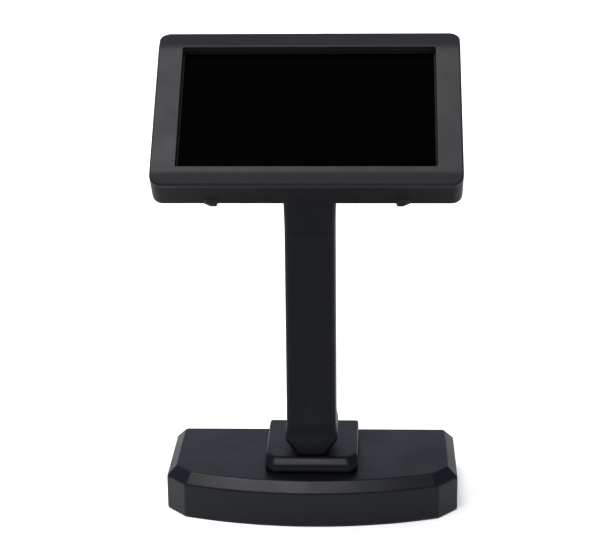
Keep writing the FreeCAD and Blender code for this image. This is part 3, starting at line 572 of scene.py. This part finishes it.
def buildButton():
    cap = {"x": 12.0, "y": 9.3, "halfWidth": 4.5, "halfDepth": 2.1, "low": 55.9, "top": 60.8, "edge": 0.7}
    rings = []
    for grow, height in ((0.9, 55.7), (0.9, 56.3)):
        rings.append(lift(roundedLoop(
            cap["x"] - cap["halfWidth"] - grow, cap["x"] + cap["halfWidth"] + grow,
            cap["y"] - cap["halfDepth"] - grow, cap["y"] + cap["halfDepth"] + grow, 1.3, 4, 4, 6), height))
    for step in range(-1, 6):
        angle = math.radians(max(90 * step / 5, 0))
        inset = cap["edge"] * (1 - math.cos(angle))
        height = 56.3 if step < 0 else cap["top"] - cap["edge"] + cap["edge"] * math.sin(angle)
        rings.append(lift(roundedLoop(
            cap["x"] - cap["halfWidth"] + inset, cap["x"] + cap["halfWidth"] - inset,
            cap["y"] - cap["halfDepth"] + inset, cap["y"] + cap["halfDepth"] - inset,
            1.0 - inset * 0.5, 4, 4, 6), height))
    obj = buildMesh("powerButton", *stackRings(rings), headPlace)
    finishPiece(obj, "button", "button_abs", "power_button")


def buildBumpers():
    # long slope outside, steep face inside, and a ramp up from the front
    foot = {"x": 57.0, "front": 17.2, "back": 22.2, "toe": 21.0, "drop": 2.1, "thin": 0.3, "edge": 0.35}
    floor = head["bottom"]
    points, faces = [], []
    ramp = ((foot["front"], foot["thin"]), (foot["toe"], foot["drop"]), (foot["back"], foot["drop"]))
    for side in (-1, 1):
        rings = []
        for depth, drop in ramp:
            outline = [(-3.6, 0.1), (-3.6 + 0.33 * drop, -drop), (5.0 - 2.1 * drop, -drop), (5.0, 0.1)]
            rings.append(stand([(side * (foot["x"] + x), floor + z) for x, z in outline], depth))
        somePoints, someFaces = stackRings(rings)
        faces += [tuple(len(points) + corner for corner in face) for face in someFaces]
        points += somePoints
    obj = buildMesh("bumperFeet", points, faces, headPlace)
    finishPiece(obj, "head", "black_rubber", "bumper_feet", bevel=foot["edge"])


buildBezel()
buildHousing()
buildScreen()
buildButton()
buildBumpers()
print("head built")


# the pole, with its collar above and its boot below

pole = {"halfWidth": 16.0, "halfDepth": 19.0, "corner": 4.5, "crown": 60.0}


def poleLoop(growX, growY=None):
    # crowned front and back, flat sides, corner arcs tangent to both
    growY = growX if growY is None else growY
    halfWidth, halfDepth = pole["halfWidth"] + growX, pole["halfDepth"] + growY
    crownY = pole["crown"] - halfDepth
    cornerX = halfWidth - pole["corner"]
    cornerY = crownY - math.sqrt((pole["crown"] - pole["corner"]) ** 2 - cornerX ** 2)
    lean = math.atan2(cornerX, crownY - cornerY)
    quarter = []
    for step in range(8):
        angle = lean * step / 8
        quarter.append((pole["crown"] * math.sin(angle), crownY - pole["crown"] * math.cos(angle)))
    for step in range(9):
        angle = lean + (math.pi / 2 - lean) * step / 8
        quarter.append((
            cornerX + pole["corner"] * math.sin(angle), cornerY - pole["corner"] * math.cos(angle)))
    for step in range(1, 5):
        quarter.append((halfWidth, cornerY * (1 - step / 5)))
    half = quarter + [(x, -y) for x, y in reversed(quarter[1:])]
    return half + [(-x, -y) for x, y in half]


def screwPockets(height):
    return [(diskLoop(x, height, 3.1), 17.4, 24.0, stand) for x in (-6.5, 6.5)]


def buildPole():
    tube = {"bottom": 49.05, "bootTop": 61.1, "collarLow": 189.9, "top": 204.0, "spigot": -1.2, "bore": -3.2}
    spigot, bore = tube["spigot"], tube["bore"]
    steps = [
        (spigot, tube["bottom"]), (spigot, tube["bootTop"]), (-0.08, tube["bootTop"]),
        (0, tube["bootTop"] + 0.08), (0, 80), (0, 125), (0, 170), (0, tube["collarLow"]),
        (spigot, tube["collarLow"]), (spigot, tube["top"]), (bore, tube["top"]), (bore, tube["bottom"]),
    ]
    rings = [lift(poleLoop(grow), height) for grow, height in steps]
    obj = buildMesh("poleTube", *stackRings(rings, joined=True), polePlace)
    finishPiece(obj, "pole", "pole_paint", "pole_tube")

    # the collar starts flush with the tube and flares a little towards its top
    collar = {"low": 190.0, "top": 226.0, "proud": 0.6, "round": 2.0, "flare": 26.0}
    rings = [lift(poleLoop(-2.2), 223.6), lift(poleLoop(-2.2), 204.1), lift(poleLoop(-1.18), 204.1)]
    rings.append(lift(poleLoop(-1.18), collar["low"]))
    rings.append(lift(poleLoop(-0.08), collar["low"]))
    for step in range(5):
        share = step / 4
        grow = collar["proud"] * share * share * (3 - 2 * share)
        rings.append(lift(poleLoop(grow), collar["low"] + 0.1 + collar["flare"] * share))
    for step in range(7):
        angle = math.radians(90 * step / 6)
        grow = collar["proud"] - collar["round"] * (1 - math.cos(angle))
        rings.append(lift(poleLoop(grow), collar["top"] - collar["round"] * (1 - math.sin(angle))))
    obj = buildMesh("neckCollar", *stackRings(rings), polePlace)
    prisms = screwPockets(197.0)
    prisms.append((roundedLoop(-8.8, 8.8, -9.8, 9.8, 0.6, 2, 2, 3), 210.0, 232.0, lift))
    prisms.append((diskLoop(0, -13.4, 3.0), 220.0, 232.0, lift))
    finishPiece(obj, "pole", "pole_abs", "neck_collar", cutter=cutterFrom(prisms, polePlace))

    # the foot swells a little, then draws in sharply to the neck it turns on
    boot = {"inside": -1.18, "floor": 49.0}
    rings = [lift(poleLoop(boot["inside"]), boot["floor"]), lift(poleLoop(boot["inside"]), 61.0)]
    outside = [
        (-0.08, -0.08, 61.0), (0.0, 0.0, 60.92), (0.15, 0.15, 59.2), (0.5, 0.5, 57.2), (0.85, 0.85, 55.4),
        (1.03, 1.03, 53.6), (1.05, 1.05, 51.6), (1.0, 1.04, 50.3), (0.75, 0.95, 49.4), (0.3, 0.85, 48.6),
        (-4.9, -0.3, 41.1), (-5.4, -0.7, 40.5), (-6.0, -1.3, 40.2),
    ]
    rings += [lift(poleLoop(growX, growY), height) for growX, growY, height in outside]
    obj = buildMesh("poleBoot", *stackRings(rings), polePlace)
    finishPiece(obj, "pole", "pole_abs", "pole_boot", cutter=cutterFrom(screwPockets(53.0), polePlace))


buildPole()
print("pole built")


# the base cover and the raised block that the pole turns on

base = {
    "halfWidth": 95.4, "back": 60.0, "front": -42.0, "shoulderX": 82.6, "shoulderY": -27.7,
    "sideFront": -13.2, "sideBack": 55.0, "backX": 90.4,
    "lip": 0.7, "top": 29.5, "chamfer": 6.5, "wall": 2.6, "edge": 0.9,
}


def baseOutline():
    # a bowed front, a facet at each front corner, straight sides and clipped back corners
    bow = base["shoulderY"] - base["front"]
    radius = (base["shoulderX"] ** 2 + bow ** 2) / (2 * bow)
    reach = math.asin(base["shoulderX"] / radius)
    left = -base["halfWidth"]
    outline = [Vector((left, base["sideBack"])), Vector((left, base["sideFront"]))]
    bowSteps = 64
    for step in range(bowSteps + 1):
        angle = reach * (2 * step / bowSteps - 1)
        outline.append(Vector((radius * math.sin(angle), base["front"] + radius * (1 - math.cos(angle)))))
    outline += [
        Vector((base["halfWidth"], base["sideFront"])), Vector((base["halfWidth"], base["sideBack"])),
        Vector((base["backX"], base["back"])), Vector((-base["backX"], base["back"])),
    ]
    return outline


def buildBase():
    outline = baseOutline()

    def loopAt(inset):
        return insetPolygon(outline, [inset] * len(outline))

    steps = [
        (base["wall"], 22.0), (base["wall"], base["lip"]), (0, base["lip"]),
        (0, base["top"] - base["chamfer"]), (base["chamfer"], base["top"]),
    ]
    rings = [lift(loopAt(inset), height) for inset, height in steps]
    obj = buildMesh("baseCover", *stackRings(rings), polePlace)
    inlet = cutterFrom([(diskLoop(0, 14.0, 7.95), 56.0, 62.0, stand)], polePlace)
    finishPiece(obj, "base", "base_abs", "base_cover", bevel=base["edge"], cutter=inlet)

    block = {
        "halfWidth": 30.2, "front": -24.5, "back": 46.0, "facet": 5.0,
        "chamfer": 4.85, "top": 39.5, "edge": 1.8,
    }
    half, front, facet = block["halfWidth"], block["front"], block["facet"]
    outline = [
        Vector((-half, block["back"])), Vector((-half, front + facet)), Vector((-half + facet, front)),
        Vector((half - facet, front)), Vector((half, front + facet)), Vector((half, block["back"])),
    ]
    slope = [0, block["chamfer"], block["chamfer"], block["chamfer"], 0, 0]
    rings = [
        lift(outline, base["top"] - 0.3), lift(outline, block["top"] - block["chamfer"]),
        lift(insetPolygon(outline, slope), block["top"]),
    ]
    obj = buildMesh("pedestalBlock", *stackRings(rings), polePlace)
    finishPiece(obj, "base", "base_abs", "pedestal_block", bevel=block["edge"])


buildBase()
print("base built")


# floor, light and camera

studio = {
    "floor": "#F6F6F5", "reach": 9.0, "room": "#CFD7E6", "roomPower": 0.32, "wallPower": 0.9,
    "keyPower": 5.2, "keyHeight": 78, "keySide": -40, "keySpread": 36,
    "lens": 108.24, "eye": (0.0386, -1.09726, 0.50025), "yaw": -2.365, "pitch": 17.21, "roll": -0.591,
}


def buildFloor():
    reach = studio["reach"]
    mesh = bpy.data.meshes.new("studioFloor")
    corners = [(-reach, -reach, 0), (reach, -reach, 0), (reach, reach, 0), (-reach, reach, 0)]
    mesh.from_pydata(corners, [], [(0, 1, 2, 3)])
    floor = bpy.data.objects.new("studioFloor", mesh)
    bpy.context.scene.collection.objects.link(floor)
    material, tree, shader, place = freshMaterial("studioPaper")
    fibre = addNode(tree, "ShaderNodeTexNoise", {"Vector": place, "Scale": 40.0, "Detail": 4.0})
    tone = addNode(tree, "ShaderNodeMix", {
        "Factor": fibre.outputs["Fac"], "A": linear(studio["floor"]), "B": linear("#FAFAFA"),
    }, data_type="RGBA")
    tree.links.new(tone.outputs["Result"], shader.inputs["Base Color"])
    shader.inputs["Roughness"].default_value = 0.9
    mesh.materials.append(material)


def buildKey():
    # one broad soft source high in front, a little to the left
    light = bpy.data.lights.new("keyLight", "SUN")
    light.energy = studio["keyPower"]
    light.angle = math.radians(studio["keySpread"])
    high, side = math.radians(studio["keyHeight"]), math.radians(studio["keySide"])
    towards = Vector((math.sin(side) * math.cos(high), -math.cos(side) * math.cos(high), math.sin(high)))
    obj = bpy.data.objects.new("keyLight", light)
    obj.rotation_euler = towards.to_track_quat("Z", "Y").to_euler()
    bpy.context.scene.collection.objects.link(obj)


def buildWorld():
    # a dim even room with a pale wall low behind, which gives upper faces their soft sheen
    world = bpy.data.worlds.new("studioWorld")
    bpy.context.scene.world = world
    world.use_nodes = True
    tree = world.node_tree
    sky = tree.nodes["Background"]
    sky.inputs["Color"].default_value = linear(studio["room"])
    way = addNode(tree, "ShaderNodeSeparateXYZ", {
        "Vector": addNode(tree, "ShaderNodeTexCoord").outputs["Generated"],
    })
    behind = addNode(tree, "ShaderNodeMapRange", {
        "Value": way.outputs["Y"], "From Min": 0.3, "From Max": 0.75,
    }, interpolation_type="SMOOTHSTEP")
    low = addNode(tree, "ShaderNodeMapRange", {
        "Value": way.outputs["Z"], "From Min": 0.5, "From Max": 0.75, "To Min": 1.0, "To Max": 0.0,
    }, interpolation_type="SMOOTHSTEP")
    across = addNode(tree, "ShaderNodeMath", {0: way.outputs["X"]}, operation="ABSOLUTE")
    middle = addNode(tree, "ShaderNodeMapRange", {
        "Value": across.outputs["Value"], "From Min": 0.2, "From Max": 0.5, "To Min": 1.0, "To Max": 0.0,
    }, interpolation_type="SMOOTHSTEP")
    lowBehind = addNode(tree, "ShaderNodeMath", {
        0: behind.outputs["Result"], 1: low.outputs["Result"],
    }, operation="MULTIPLY")
    wall = addNode(tree, "ShaderNodeMath", {
        0: lowBehind.outputs["Value"], 1: middle.outputs["Result"],
    }, operation="MULTIPLY")
    power = addNode(tree, "ShaderNodeMapRange", {
        "Value": wall.outputs["Value"], "To Min": studio["roomPower"], "To Max": studio["wallPower"],
    })
    tree.links.new(power.outputs["Result"], sky.inputs["Strength"])
    bpy.context.scene.view_settings.view_transform = "Standard"


def buildCamera():
    yaw, pitch, roll = (math.radians(studio[key]) for key in ("yaw", "pitch", "roll"))
    ahead = Vector((math.sin(yaw) * math.cos(pitch), math.cos(yaw) * math.cos(pitch), -math.sin(pitch)))
    level = Vector((math.cos(yaw), -math.sin(yaw), 0))
    above = level.cross(ahead)
    right = level * math.cos(roll) + above * math.sin(roll)
    up = above * math.cos(roll) - level * math.sin(roll)
    camera = bpy.data.objects.new("studioCamera", bpy.data.cameras.new("studioCamera"))
    camera.data.lens = studio["lens"]
    camera.data.clip_end = 60
    turn = Matrix((right, up, -ahead)).transposed().to_4x4()
    camera.matrix_world = Matrix.Translation(studio["eye"]) @ turn
    bpy.context.scene.collection.objects.link(camera)
    bpy.context.scene.camera = camera


buildFloor()
buildWorld()
buildKey()
buildCamera()
print("studio built")
